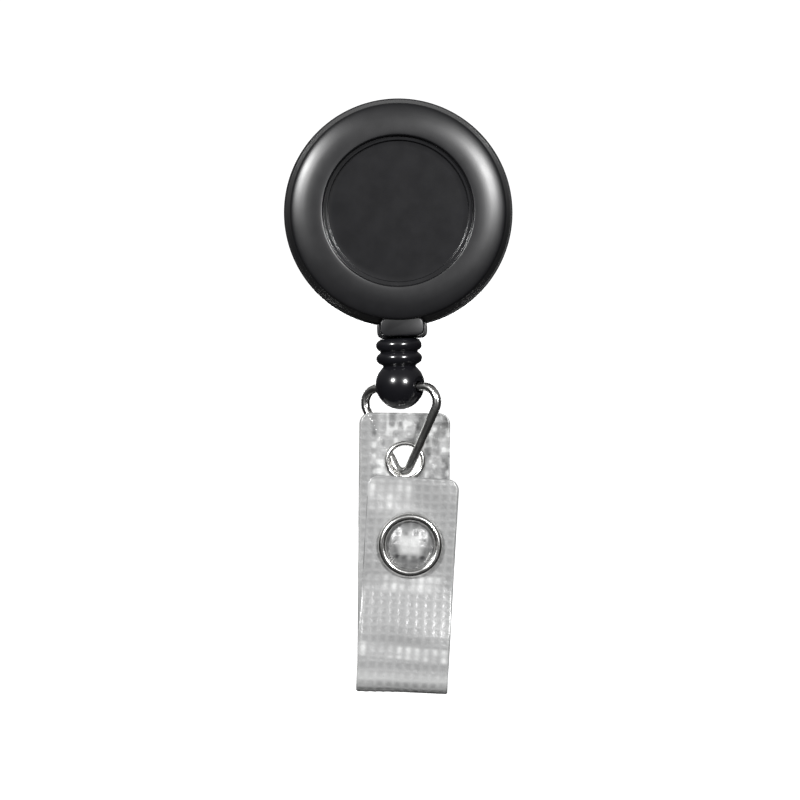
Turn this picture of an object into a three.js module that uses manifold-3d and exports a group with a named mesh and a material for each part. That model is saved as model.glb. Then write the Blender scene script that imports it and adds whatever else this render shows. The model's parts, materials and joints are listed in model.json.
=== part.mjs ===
// Retractable badge reel: a round two-piece casing with a spring-wound spool inside,
// a belt clip riveted to its back, and a cord that ends in a ribbed bumper, a ball
// fitting, a wire loop and a folded clear vinyl strap with a ring snap.
//
// Millimetres. The reel hangs: +X right, +Y towards the wearer, +Z up.
// The origin is the centre of the casing's back face, on the spool's axis.

import * as THREE from 'three';
import { mergeVertices } from 'three/addons/utils/BufferGeometryUtils.js';
import Module from 'manifold-3d';

const wasm = await Module();
wasm.setup();

// ---------------------------------------------------------------------------
// Driving dimensions

const CASE_R = 16;            // back shell; the front shell is a little smaller
const FRONT_R = 15.7;
const WALL = 1.2;
const SEAM_Y = -4.6;          // where the shells meet
const SEAM_GAP = 0.1;
const CREST_Y = -8.6;         // highest ring of the front dome
const CREST_R = 11.2;
const LIP_R = 10.4;           // edge of the label recess, over a narrow ledge
const LABEL_R = 9.75;         // 19 mm label
const LABEL_Y = -7.4;
const LEDGE_Y = -7.8;         // the ledge around the label
const SHELL_FLOOR_Y = -6.4;   // inside face of the front shell

const NECK_BACK_W = 7.0;      // the cord's outlet at the bottom of each shell
const NECK_BACK_Z = -17.6;
const NECK_FRONT_W = 6.1;
const NECK_FRONT_Z = -17.3;
const NECK_FRONT_Y = -7.35;
const NECK_CORNER_R = 0.9;

const POST_R = 2.0;           // the spool turns on this post of the back shell
const POST_BORE_R = 1.45;
const POST_TOP_Y = -6.2;
const RIVET_BORE_R = 1.15;

const FLANGE_R = 13.5;        // spool
const DRUM_R = 9.5;
const DRUM_WALL = 0.8;
const WEB_Y = -1.6;           // back of the spool's web
const WEB_T = 0.6;
const SPOOL_FRONT_Y = -5.6;
const ANCHOR_R = 11.6;        // where the cord is knotted on the spool
const COVER_HOLE_R = 2.6;     // disc that closes the spring in the drum
const COVER_R = 8.55;
const COVER_BACK_Y = -5.15;
const COVER_FRONT_Y = -5.45;

const CORD_R = 0.425;
const CORD_BORE_R = 0.62;     // cord hole through the bumper and the ball
const OUTLET_R = 0.95;        // cord hole through the neck
const CORD_X = -0.53;         // the cord leaves against the left of its outlet
const CORD_Y = -4.3;
const WOUND_R = 13.0;         // outside of the wound cord
const WOUND_Y = -3.6;

const BUMPER_TOP_Z = -17.7;
const RIB_PITCH = 1.82;
const RIB_R = 3.25;
const RIB_HALF_T = 0.82;
const BALL_R = 3.48;
const BALL_Z = -24.06;
const BALL_TOP_Z = -21.5;     // flat seat under the bumper
const LOOP_AXIS_Z = -24.43;   // cross-hole for the wire loop
const LOOP_TURN = THREE.MathUtils.degToRad(-35);  // the loop is turned about the cord

const WIRE_R = 0.62;
const LOOP_HALF_W = 6.1;
const LOOP_BOTTOM_Z = -36.2;  // wire centreline
const LOOP_SHOULDER_R = 2.1;
const LOOP_TIP_R = 1.4;

const STRAP_W = 12.7;
const STRAP_T = 0.45;
const STRAP_CORNER_R = 1.6;
const STRAP_BACK_Y = CORD_Y;
const LEG_GAP = 2.5;          // between the legs' middles at the snap
const FOLD_R = 2.5;           // the fold opens into a loop for the badge
const LOOP_TOP = 4.6;         // heights between which the loop narrows to the leg gap
const LOOP_CLOSED = 12.6;
const FOLD_X = -1.55;
const FOLD_Z = -64.28;
const BACK_TILT = THREE.MathUtils.degToRad(2.45);
const FRONT_TILT = THREE.MathUtils.degToRad(5.25);
const BACK_LEG = 36.3;        // above the fold's centre
const FRONT_LEG = 27.4;
const EYELET_V = 29.55;       // the eyelet's height above the fold's centre
const EYELET_R = 2.15;
const EYELET_FLANGE_R = 2.89;
const EYELET_FACE = 0.04;     // air between the strap and the eyelet's flanges
const SNAP_X = 0.13;
const SNAP_Z = -46.39;
const SNAP_R = 4.55;
const SNAP_HOLE_R = 3.25;
const SNAP_RISE = 0.88;

const CLIP_W = 10;
const CLIP_T = 0.8;
const CLIP_BOTTOM_Z = -10;
const CLIP_BEND_Z = 9.8;
const CLIP_BEND_R = 2.6;      // middle of the strip
const RIVET_R = 0.95;

const CASE_SEGMENTS = 56;
const SPOOL_SEGMENTS = 40;
const SMALL_SEGMENTS = 28;
const SKIN = 0.1;             // air left between pieces that rest on each other

// ---------------------------------------------------------------------------
// Materials

const material = (name, color, roughness, metalness = 0, opacity = 1) =>
  new THREE.MeshStandardMaterial({ name, color, roughness, metalness, opacity, transparent: opacity < 1 });

const blackPlastic = material('black_plastic', 0x1b1b1d, 0.35);
const innerPlastic = material('inner_plastic', 0xd8d8d2, 0.5);
const cordNylon = material('cord_nylon', 0x141414, 0.8);
const nickel = material('nickel', 0xc4c4c2, 0.22, 1);
const springSteel = material('spring_steel', 0x8f9296, 0.35, 1);
const clearVinyl = material('clear_vinyl', 0xe2e4e4, 0.25, 0, 0.5);

// ---------------------------------------------------------------------------
// Geometry helpers

const SIDEWAYS = new THREE.Matrix4().makeBasis(
  new THREE.Vector3(0, 1, 0), new THREE.Vector3(0, 0, 1), new THREE.Vector3(1, 0, 0));
const FLATWISE = new THREE.Matrix4().makeBasis(
  new THREE.Vector3(1, 0, 0), new THREE.Vector3(0, 0, 1), new THREE.Vector3(0, -1, 0));

// One closed body with merged vertices and its faces pointing out.
function closed(source) {
  const bare = source.index ? source.toNonIndexed() : source.clone();
  bare.deleteAttribute('normal');
  bare.deleteAttribute('uv');
  const geometry = mergeVertices(bare, 1e-4);
  const position = geometry.attributes.position;
  const corner = [new THREE.Vector3(), new THREE.Vector3(), new THREE.Vector3()];
  const kept = [];
  let volume = 0;
  for (let i = 0; i < geometry.index.count; i += 3) {
    const [a, b, c] = [0, 1, 2].map((k) => geometry.index.getX(i + k));
    if (a === b || b === c || c === a) continue;
    kept.push(a, b, c);
    [a, b, c].forEach((vertex, k) => corner[k].fromBufferAttribute(position, vertex));
    volume += corner[0].dot(corner[1].clone().cross(corner[2]));
  }
  geometry.setIndex(volume < 0 ? kept.reverse() : kept);
  return geometry;
}

function solid(source) {
  const geometry = closed(source);
  return new wasm.Manifold(new wasm.Mesh({
    numProp: 3,
    vertProperties: new Float32Array(geometry.attributes.position.array),
    triVerts: new Uint32Array(geometry.index.array),
  }));
}

function fromSolid(body) {
  const mesh = body.getMesh();
  const geometry = new THREE.BufferGeometry();
  geometry.setAttribute('position', new THREE.BufferAttribute(new Float32Array(mesh.vertProperties), 3));
  geometry.setIndex(Array.from(mesh.triVerts));
  return geometry;
}

// A ring turned about Y from a closed outline of [radius, y] points.
function turned(outline, segments) {
  const points = outline.map(([r, y]) => new THREE.Vector2(r, y));
  if (outline[0][0] > 0) points.push(points[0].clone());
  return new THREE.LatheGeometry(points, segments);
}

function place(geometry, x, y, z) {
  return geometry.clone().translate(x, y, z);
}

// A round bar between two points, mostly used as a cutter.
function bar(from, to, radius, segments = 16) {
  const start = new THREE.Vector3(...from);
  const along = new THREE.Vector3(...to).sub(start);
  const turn = new THREE.Quaternion().setFromUnitVectors(
    new THREE.Vector3(0, 1, 0), along.clone().normalize());
  const middle = start.addScaledVector(along, 0.5);
  return new THREE.CylinderGeometry(radius, radius, along.length(), segments)
    .applyQuaternion(turn).translate(middle.x, middle.y, middle.z);
}

// An outline of [x, z] points, thick along Y.
function plate(shape, yFront, yBack) {
  return new THREE.ExtrudeGeometry(shape, { depth: yBack - yFront, bevelEnabled: false, curveSegments: 4 })
    .applyMatrix4(FLATWISE).translate(0, yBack, 0);
}

// A strip whose edge-on path is a list of [y, z] points, wide along X.
function ribbon(path, thickness, width) {
  const middle = path.map(([y, z]) => new THREE.Vector2(y, z));
  const side = (sign) => middle.map((point, i) => {
    const before = middle[Math.max(i - 1, 0)];
    const after = middle[Math.min(i + 1, middle.length - 1)];
    const run = after.clone().sub(before).normalize();
    return new THREE.Vector2(-run.y, run.x).multiplyScalar(sign * thickness / 2).add(point);
  });
  const shape = new THREE.Shape([...side(1), ...side(-1).reverse()]);
  return new THREE.ExtrudeGeometry(shape, { depth: width, bevelEnabled: false })
    .applyMatrix4(SIDEWAYS).translate(-width / 2, 0, 0);
}

// A round tube along a smooth curve, closed at both ends.
function tube(points, radius, sides, steps) {
  const section = new THREE.Shape(Array.from({ length: sides }, (_, k) => {
    const angle = 2 * Math.PI * k / sides;
    return new THREE.Vector2(radius * Math.cos(angle), radius * Math.sin(angle));
  }));
  const path = new THREE.CatmullRomCurve3(points, false, 'centripetal');
  return new THREE.ExtrudeGeometry(section, { steps, extrudePath: path });
}

function arc(centreA, centreB, radius, fromDeg, toDeg, count) {
  return Array.from({ length: count + 1 }, (_, i) => {
    const angle = THREE.MathUtils.degToRad(fromDeg + (toDeg - fromDeg) * i / count);
    return [centreA + radius * Math.cos(angle), centreB + radius * Math.sin(angle)];
  });
}

// ---------------------------------------------------------------------------
// Casing

function neckBlock(width, topZ, bottomZ, yFront, yBack) {
  const half = width / 2;
  const radius = NECK_CORNER_R;
  const shape = new THREE.Shape()
    .moveTo(-half, topZ)
    .lineTo(-half, bottomZ + radius)
    .absarc(-half + radius, bottomZ + radius, radius, Math.PI, 1.5 * Math.PI, false)
    .absarc(half - radius, bottomZ + radius, radius, 1.5 * Math.PI, 2 * Math.PI, false)
    .lineTo(half, topZ);
  return plate(shape, yFront, yBack);
}

// The cord fans in from the spool's side and leaves straight down.
function cordOutlet() {
  const fanTop = -12.2;
  const fanBottom = -15.9;
  const fanRight = 7.2;
  const fan = new THREE.Shape([
    new THREE.Vector2(CORD_X - 1, fanBottom), new THREE.Vector2(CORD_X + 1, fanBottom),
    new THREE.Vector2(fanRight, fanTop), new THREE.Vector2(CORD_X - 1, fanTop),
  ]);
  const throat = bar([CORD_X, CORD_Y, -14.9], [CORD_X, CORD_Y, -18.5], OUTLET_R);
  return solid(plate(fan, -5.2, -2.8)).add(solid(throat));
}

function backShell() {
  const rim = turned([
    [RIVET_BORE_R, 0], [15.1, 0], [15.75, -0.3], [CASE_R, -0.95], [CASE_R, SEAM_Y], [CASE_R - WALL, SEAM_Y],
    [CASE_R - WALL, -WALL], [POST_R, -WALL], [POST_R, POST_TOP_Y], [POST_BORE_R, POST_TOP_Y],
    [POST_BORE_R, -WALL], [RIVET_BORE_R, -WALL],
  ], CASE_SEGMENTS);
  const neck = neckBlock(NECK_BACK_W, -15, NECK_BACK_Z, SEAM_Y, -0.9);
  const slotWidth = 0.5;
  const springSlot = new THREE.BoxGeometry(slotWidth, 3.2, 2 * POST_R + 1).translate(0, -4.7, 0);
  return fromSolid(solid(rim).add(solid(neck)).subtract(cordOutlet()).subtract(solid(springSlot)));
}

function frontShell() {
  const skirtOut = 14.55;
  const skirtIn = 14.0;
  const skirtEnd = -3.5;
  const top = SEAM_Y - SEAM_GAP;
  const dome = turned([
    [0, LABEL_Y], [LABEL_R, LABEL_Y], [LABEL_R + 0.1, LEDGE_Y], [LIP_R, LEDGE_Y - 0.05], [LIP_R + 0.15, -8.35],
    [CREST_R, CREST_Y], [12.8, -8.48], [14.1, -8.18], [14.85, -7.83], [15.2, -7.0], [15.45, -6.2],
    [FRONT_R, top], [skirtOut, top], [skirtOut, skirtEnd], [skirtIn, skirtEnd], [skirtIn, SHELL_FLOOR_Y],
    [13.6, -7.1], [12.6, -7.35], [10.6, -7.15], [9.4, SHELL_FLOOR_Y], [0, SHELL_FLOOR_Y],
  ], CASE_SEGMENTS);
  const neck = neckBlock(NECK_FRONT_W, -14.8, NECK_FRONT_Z, NECK_FRONT_Y, top);
  return fromSolid(solid(dome).add(solid(neck)).subtract(cordOutlet()));
}

// ---------------------------------------------------------------------------
// Spool and spring

function spool() {
  const inner = DRUM_R - DRUM_WALL;
  const web = WEB_Y - WEB_T;
  const body = turned([
    [POST_R + 0.35, WEB_Y], [FLANGE_R, WEB_Y], [FLANGE_R, web], [DRUM_R, web],
    [DRUM_R, SPOOL_FRONT_Y + WEB_T], [FLANGE_R, SPOOL_FRONT_Y + WEB_T], [FLANGE_R, SPOOL_FRONT_Y],
    [inner, SPOOL_FRONT_Y], [inner, web], [POST_R + 0.35, web],
  ], SPOOL_SEGMENTS);
  const cordHole = bar([ANCHOR_R, SPOOL_FRONT_Y - 1, 0], [ANCHOR_R, SPOOL_FRONT_Y + 1, 0], 0.5, 10);
  return fromSolid(solid(body).subtract(solid(cordHole)));
}

function springCover() {
  return turned([
    [COVER_HOLE_R, COVER_BACK_Y], [COVER_R, COVER_BACK_Y],
    [COVER_R, COVER_FRONT_Y], [COVER_HOLE_R, COVER_FRONT_Y],
  ], SPOOL_SEGMENTS);
}

// The spring's strip winds from the post out to the drum.
function spiralSpring() {
  const turns = 5;
  const stepsPerTurn = 18;
  const innerR = 2.35;
  const outerR = 8.25;
  const strip = 0.25;
  const edge = (offset) => Array.from({ length: turns * stepsPerTurn + 1 }, (_, i) => {
    const angle = 2 * Math.PI * i / stepsPerTurn;
    const radius = innerR + (outerR - innerR) * i / (turns * stepsPerTurn) + offset;
    return new THREE.Vector2(radius * Math.cos(angle), radius * Math.sin(angle));
  });
  return plate(new THREE.Shape([...edge(strip), ...edge(0).reverse()]), -5.0, -2.4);
}

// ---------------------------------------------------------------------------
// Cord

function woundCord() {
  const back = WEB_Y - WEB_T - SKIN;
  const front = SPOOL_FRONT_Y + WEB_T + SKIN;
  const bulge = 0.3;
  return turned([
    [DRUM_R + SKIN, back], [WOUND_R - bulge, back], [WOUND_R, back - bulge], [WOUND_R, front + bulge],
    [WOUND_R - bulge, front], [DRUM_R + SKIN, front],
  ], SPOOL_SEGMENTS);
}

function cordRun() {
  const route = [
    [6.85, WOUND_Y, -11.75], [4.6, -3.75, -13.0], [2.3, -3.95, -14.25], [0.75, -4.15, -15.2],
    [-0.25, -4.27, -16.2], [CORD_X, CORD_Y, -17.3], [CORD_X, CORD_Y, -19], [CORD_X, CORD_Y, -21],
    [CORD_X, CORD_Y, -23.25],
  ];
  return tube(route.map((point) => new THREE.Vector3(...point)), CORD_R, 8, 14);
}

function knot(radius, length) {
  return new THREE.SphereGeometry(radius, 12, 8).scale(1, length / (2 * radius), 1);
}

// ---------------------------------------------------------------------------
// Cord-end fitting

function ribbedBumper() {
  const rib = (middle) => [
    [RIB_R - 0.35, middle + RIB_HALF_T], [RIB_R, middle + 0.4],
    [RIB_R, middle - 0.4], [RIB_R - 0.35, middle - RIB_HALF_T],
  ];
  const first = BUMPER_TOP_Z - 0.84;
  const second = first - RIB_PITCH;
  const bottom = BALL_TOP_Z + SKIN;
  return turned([
    [CORD_BORE_R, BUMPER_TOP_Z], ...rib(first), [2.7, (first + second) / 2], ...rib(second),
    [2.2, second - 0.9], [2.2, bottom], [CORD_BORE_R, bottom],
  ], SMALL_SEGMENTS).rotateX(Math.PI / 2);
}

// A ball with a cord hole from above, a knot recess from below and a cross-hole.
function ballFitting() {
  const flatR = 3.3;
  const depth = 6;
  const flats = new THREE.BoxGeometry(2 * flatR, 10, BALL_TOP_Z - BALL_Z + depth).rotateZ(LOOP_TURN)
    .translate(0, 0, (BALL_TOP_Z - BALL_Z - depth) / 2);
  const cordHole = bar([0, 0, -1], [0, 0, 5], CORD_BORE_R, 12);
  const recess = bar([0, 0, -5], [0, 0, 0.85], 1.3, 16);
  const reach = new THREE.Vector3(5, 0, 0).applyAxisAngle(new THREE.Vector3(0, 0, 1), LOOP_TURN);
  const cross = LOOP_AXIS_Z - BALL_Z;
  const crossHole = bar([-reach.x, -reach.y, cross], [reach.x, reach.y, cross], WIRE_R + 0.2, 14);
  return fromSolid(solid(new THREE.SphereGeometry(BALL_R, 28, 18).rotateX(Math.PI / 2))
    .intersect(solid(flats))
    .subtract(solid(cordHole)).subtract(solid(recess)).subtract(solid(crossHole)));
}

// Half of the loop's centreline, from its end in the ball to the tip, in [u, z].
function loopHalf() {
  const shoulderZ = LOOP_AXIS_Z - LOOP_SHOULDER_R;
  const shoulderU = LOOP_HALF_W - LOOP_SHOULDER_R;
  const tipZ = LOOP_BOTTOM_Z + LOOP_TIP_R;
  const span = Math.hypot(shoulderU, shoulderZ - tipZ);
  const lean = Math.atan2(shoulderU, shoulderZ - tipZ) + Math.asin((LOOP_SHOULDER_R - LOOP_TIP_R) / span);
  const leanDeg = THREE.MathUtils.radToDeg(lean);
  return [
    [1.65, LOOP_AXIS_Z], [2.4, LOOP_AXIS_Z],
    ...arc(shoulderU, shoulderZ, LOOP_SHOULDER_R, 90, -leanDeg, 8),
    ...arc(0, tipZ, LOOP_TIP_R, -leanDeg, -90, 4),
  ];
}

function wireLoop() {
  const right = loopHalf();
  const left = right.slice(0, -1).reverse().map(([u, z]) => [-u, z]);
  const path = [...right, ...left].map(([u, z]) => new THREE.Vector3(u, 0, z));
  return tube(path, WIRE_R, 10, 72).rotateZ(LOOP_TURN);
}

// ---------------------------------------------------------------------------
// Strap

const FOLD_Y = STRAP_BACK_Y - LEG_GAP / 2;

// Half the distance between the legs at a height above the fold's centre.
function halfGap(height) {
  return FOLD_R + (LEG_GAP / 2 - FOLD_R) * THREE.MathUtils.smoothstep(height, LOOP_TOP, LOOP_CLOSED);
}

// A point of the strap's middle surface: y, height above the fold, and the tilt there.
function legPoint(side, height) {
  return { y: FOLD_Y + side * halfGap(height), height, tilt: side > 0 ? BACK_TILT : FRONT_TILT };
}

function onStrap({ y, height, tilt }, across) {
  const x = FOLD_X + height * Math.sin(tilt) + across * Math.cos(tilt);
  return new THREE.Vector3(x, y, FOLD_Z + height * Math.cos(tilt) - across * Math.sin(tilt));
}

// A closed strip through stations {inner, outer, half}: two faces and four edges.
function strip(stations) {
  const rings = stations.map(({ inner, outer, half }) => [
    onStrap(outer, -half), onStrap(outer, half), onStrap(inner, half), onStrap(inner, -half),
  ]);
  const points = rings.flat();
  const index = [0, 1, 2, 0, 2, 3];
  for (let i = 0; i + 1 < rings.length; i += 1) {
    for (let k = 0; k < 4; k += 1) {
      const [a, b] = [4 * i + k, 4 * i + (k + 1) % 4];
      index.push(a, a + 4, b, b, a + 4, b + 4);
    }
  }
  const last = 4 * (rings.length - 1);
  index.push(last, last + 2, last + 1, last, last + 3, last + 2);
  return closed(new THREE.BufferGeometry().setFromPoints(points).setIndex(index));
}

// One leg: side is 1 for the back leg, -1 for the front one.
function strapLeg(side, length) {
  const heights = [0.08, LOOP_TOP, 6.2, 7.4, 8.6, 9.8, 11, LOOP_CLOSED, length - STRAP_CORNER_R];
  const stations = heights.map((height) => ({ height, half: STRAP_W / 2 }));
  for (let i = 1; i <= 4; i += 1) {
    const angle = Math.PI / 2 * i / 4;
    stations.push({
      height: length - STRAP_CORNER_R * (1 - Math.sin(angle)),
      half: STRAP_W / 2 - STRAP_CORNER_R * (1 - Math.cos(angle)),
    });
  }
  return strip(stations.map(({ height, half }) => {
    const middle = legPoint(side, height);
    const shift = side * STRAP_T / 2;
    return { inner: { ...middle, y: middle.y - shift }, outer: { ...middle, y: middle.y + shift }, half };
  }));
}

function strapFold() {
  const steps = 12;
  const at = (angle, radius) => ({
    y: FOLD_Y + radius * Math.cos(angle),
    height: -radius * Math.sin(angle),
    tilt: BACK_TILT + (FRONT_TILT - BACK_TILT) * angle / Math.PI,
  });
  return strip(Array.from({ length: steps + 1 }, (_, i) => {
    const angle = Math.PI * i / steps;
    const inner = at(angle, FOLD_R - STRAP_T / 2);
    const outer = at(angle, FOLD_R + STRAP_T / 2);
    return { inner, outer, half: STRAP_W / 2 };
  }));
}

function punched(leg, x, z, radius) {
  return leg.subtract(solid(bar([x, FOLD_Y - 5, z], [x, FOLD_Y + 5, z], radius, 20)));
}

const eyeletCentre = onStrap(legPoint(1, EYELET_V), 0.1);

function backLeg() {
  const leg = punched(solid(strapLeg(1, BACK_LEG)), eyeletCentre.x, eyeletCentre.z, EYELET_R + 0.4);
  return fromSolid(leg);
}

// The eyelet's barrel passes through the strap and is rolled over a washer.
function eyelet() {
  const face = STRAP_T / 2 + EYELET_FACE;
  const barrel = EYELET_R + 0.28;
  return turned([
    [EYELET_R + 0.08, -face - 0.26], [EYELET_R + 0.4, -face - 0.32], [EYELET_FLANGE_R, -face - 0.1],
    [EYELET_FLANGE_R, -face], [barrel, -face], [barrel, face + 0.18], [2.68, face + 0.2],
    [2.62, face + 0.34], [EYELET_R + 0.15, face + 0.34], [EYELET_R, face + 0.15], [EYELET_R, -face],
  ], SMALL_SEGMENTS);
}

function eyeletWasher() {
  const face = STRAP_T / 2 + EYELET_FACE;
  return turned([[2.5, face], [EYELET_FLANGE_R, face], [EYELET_FLANGE_R, face + 0.13], [2.5, face + 0.13]],
    SMALL_SEGMENTS);
}

// Half-round snap ring; side is -1 on the badge's front, 1 behind.
function snapRing(side) {
  return turned([
    [SNAP_HOLE_R, 0], [SNAP_HOLE_R + 0.1, side * 0.5], [3.75, side * SNAP_RISE], [4.1, side * SNAP_RISE],
    [SNAP_R - 0.12, side * 0.5], [SNAP_R, 0],
  ], SMALL_SEGMENTS);
}

function snapSocket() {
  return turned([[2.15, 0], [4.3, 0], [4.3, 0.3], [3.3, 0.8], [2.15, 0.8]], SMALL_SEGMENTS);
}

function snapStud() {
  return turned([
    [0, 0], [4.0, 0], [4.0, -0.3], [1.6, -0.38], [1.6, -0.75], [1.82, -1.05], [1.4, -1.45], [0, -1.5],
  ], SMALL_SEGMENTS);
}

// ---------------------------------------------------------------------------
// Belt clip

const CLIP_BEND_Y = SKIN + CLIP_T / 2 + CLIP_BEND_R;

function clipBase() {
  const bend = arc(CLIP_BEND_Y, CLIP_BEND_Z, CLIP_BEND_R, 180, 0, 10);
  const blank = ribbon([[SKIN + CLIP_T / 2, CLIP_BOTTOM_Z], ...bend], CLIP_T, CLIP_W);
  const rivetHole = bar([0, -1, 0], [0, 2, 0], RIVET_R + 0.2, 14);
  return fromSolid(solid(blank).subtract(solid(rivetHole)));
}

// The tongue runs down beside the belt, pinches in and flares out at its tip.
function clipTongue() {
  const y = CLIP_BEND_Y + CLIP_BEND_R;
  return ribbon([
    [y, CLIP_BEND_Z - 0.3], [y, -3], [y - 0.35, -5.5], [y - 1.2, -8], [y - 1.75, -9.8], [y - 1.6, -10.8],
    [y - 0.7, -12.2],
  ], CLIP_T, CLIP_W);
}

// One outline with a head inside the post and a flattened end on the clip.
function clipRivet() {
  const headY = -WALL - SKIN;
  const endY = SKIN + CLIP_T + SKIN;
  return turned([
    [0, headY - 0.6], [1.2, headY - 0.5], [1.3, headY], [RIVET_R, headY], [RIVET_R, endY], [1.9, endY],
    [1.7, endY + 0.4], [0, endY + 0.55],
  ], 20);
}

// ---------------------------------------------------------------------------
// Assembly

const reel = new THREE.Group();

function add(parent, name, geometry, finish) {
  const mesh = new THREE.Mesh(closed(geometry), finish);
  mesh.name = name;
  parent.add(mesh);
  return mesh;
}

function group(parent, x, y, z) {
  const child = new THREE.Group();
  child.position.set(x, y, z);
  parent.add(child);
  return child;
}

add(reel, 'back_shell', backShell(), blackPlastic);
add(reel, 'front_shell', frontShell(), blackPlastic);
add(reel, 'spool', spool(), innerPlastic);
add(reel, 'spring_cover_disc', springCover(), innerPlastic);
add(reel, 'spiral_spring', spiralSpring(), springSteel);
add(reel, 'clip_rivet', clipRivet(), springSteel);
add(reel, 'belt_clip_base', clipBase(), springSteel);
add(reel, 'belt_clip_tongue', clipTongue(), springSteel);

add(reel, 'cord_winding', woundCord(), cordNylon);
add(reel, 'cord_anchor_knot', place(knot(0.7, 1.4), ANCHOR_R, SPOOL_FRONT_Y - 0.8, 0), cordNylon);
add(reel, 'cord_run', cordRun(), cordNylon);

const fitting = group(reel, CORD_X, CORD_Y, 0);
add(fitting, 'ribbed_bumper', ribbedBumper(), blackPlastic);
add(fitting, 'wire_loop', wireLoop(), nickel);
const ball = group(fitting, 0, 0, BALL_Z);
add(ball, 'ball_fitting', ballFitting(), blackPlastic);
add(ball, 'cord_knot', place(knot(1.1, 2), 0, 0, -0.45), cordNylon);

add(reel, 'strap_back_leg', backLeg(), clearVinyl);
add(reel, 'strap_fold', strapFold(), clearVinyl);
add(reel, 'strap_front_leg', strapLeg(-1, FRONT_LEG), clearVinyl);
const eyeletPlace = group(reel, eyeletCentre.x, eyeletCentre.y, eyeletCentre.z);
add(eyeletPlace, 'strap_eyelet', eyelet(), nickel);
add(eyeletPlace, 'eyelet_washer', eyeletWasher(), nickel);

const snapFace = STRAP_T / 2 + 0.05;
const snapBack = group(reel, SNAP_X, STRAP_BACK_Y, SNAP_Z);
const snapFront = group(reel, SNAP_X, STRAP_BACK_Y - LEG_GAP, SNAP_Z);
add(snapFront, 'snap_cap_ring', place(snapRing(-1), 0, -snapFace, 0), nickel);
add(snapFront, 'snap_socket', place(snapSocket(), 0, snapFace, 0), nickel);
add(snapBack, 'snap_stud', place(snapStud(), 0, -snapFace, 0), nickel);
add(snapBack, 'snap_back_ring', place(snapRing(1), 0, snapFace, 0), nickel);

export default reel;
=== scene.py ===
"""Looks for the retractable badge reel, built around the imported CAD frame."""

import json
import math

import bmesh
import bpy
import numpy as np
from mathutils import Matrix, Vector

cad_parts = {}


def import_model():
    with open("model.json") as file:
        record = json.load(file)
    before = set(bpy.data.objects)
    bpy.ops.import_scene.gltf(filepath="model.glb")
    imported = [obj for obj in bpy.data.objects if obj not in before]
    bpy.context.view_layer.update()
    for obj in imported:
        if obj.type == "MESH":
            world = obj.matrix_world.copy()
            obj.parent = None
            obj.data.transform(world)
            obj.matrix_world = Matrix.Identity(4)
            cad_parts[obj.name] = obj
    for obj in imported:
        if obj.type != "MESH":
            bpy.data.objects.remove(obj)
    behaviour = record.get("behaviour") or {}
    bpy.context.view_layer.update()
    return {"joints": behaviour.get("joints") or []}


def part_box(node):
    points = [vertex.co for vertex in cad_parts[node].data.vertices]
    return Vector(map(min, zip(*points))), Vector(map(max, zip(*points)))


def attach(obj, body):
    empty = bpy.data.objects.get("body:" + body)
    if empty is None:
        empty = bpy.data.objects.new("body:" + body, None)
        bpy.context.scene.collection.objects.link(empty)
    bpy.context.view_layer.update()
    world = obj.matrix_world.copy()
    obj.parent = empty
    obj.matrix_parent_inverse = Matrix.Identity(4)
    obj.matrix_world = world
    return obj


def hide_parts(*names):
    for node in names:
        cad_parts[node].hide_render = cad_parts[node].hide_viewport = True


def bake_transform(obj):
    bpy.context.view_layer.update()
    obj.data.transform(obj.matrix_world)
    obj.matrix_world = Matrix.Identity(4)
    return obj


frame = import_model()

MM = 0.001

# ---------------------------------------------------------------------------
# Places taken from the frame, in millimetres


def box_mm(node):
    low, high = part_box(node)
    return np.array(low) / MM, np.array(high) / MM


def middle_mm(node):
    low, high = box_mm(node)
    return (low + high) / 2


def joint(name):
    return next(j for j in frame["joints"] if j["name"] == name)


back_low, back_high = box_mm("back_shell")
front_low, front_high = box_mm("front_shell")
CASE_R = back_high[0]
FRONT_R = front_high[0]
WALL = 1.2
SEAM_BACK_Y = -4.6
SEAM_FRONT_Y = -4.7
CREST_Y = front_low[1]
CREST_R = 11.2
LABEL_Y = -7.4
LEDGE_Y = -7.8
SHELL_FLOOR_Y = -6.4
SKIRT_OUT_R = 14.55
SKIRT_IN_R = 14.0
SKIRT_END_Y = -3.5
NECK_BACK_W = 7.0
NECK_BACK_Z = back_low[2]
NECK_FRONT_W = 6.1
NECK_FRONT_Y = -7.35
NECK_FRONT_Z = front_low[2]
NECK_CORNER_R = 1.0
POST_R = 2.0
POST_BORE_R = 1.45
POST_TOP_Y = -6.2
RIVET_BORE_R = 1.15

FLANGE_R = 13.5
DRUM_R = 9.5
DRUM_IN_R = 8.7
HUB_R = 2.35
WEB_Y = -1.6
SPOOL_FRONT_Y = -5.6
PLATE_T = 0.6
ANCHOR_R = 11.6

BALL = middle_mm("cord_knot") + np.array([0, 0, 0.45])
BALL_R = 3.48
BALL_TOP_Z = box_mm("ball_fitting")[1][2]
CORD_X, CORD_Y = BALL[0], BALL[1]
CORD_R = 0.425
CORD_BORE_R = 0.62
OUTLET_R = 0.95
WIRE_R = 0.62
loop_axis = np.array(joint("loop_swing")["axis"])
LOOP_TURN = math.atan2(loop_axis[1], loop_axis[0])
LOOP_AXIS_Z = joint("loop_swing")["pos_m"][2] / MM

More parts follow.
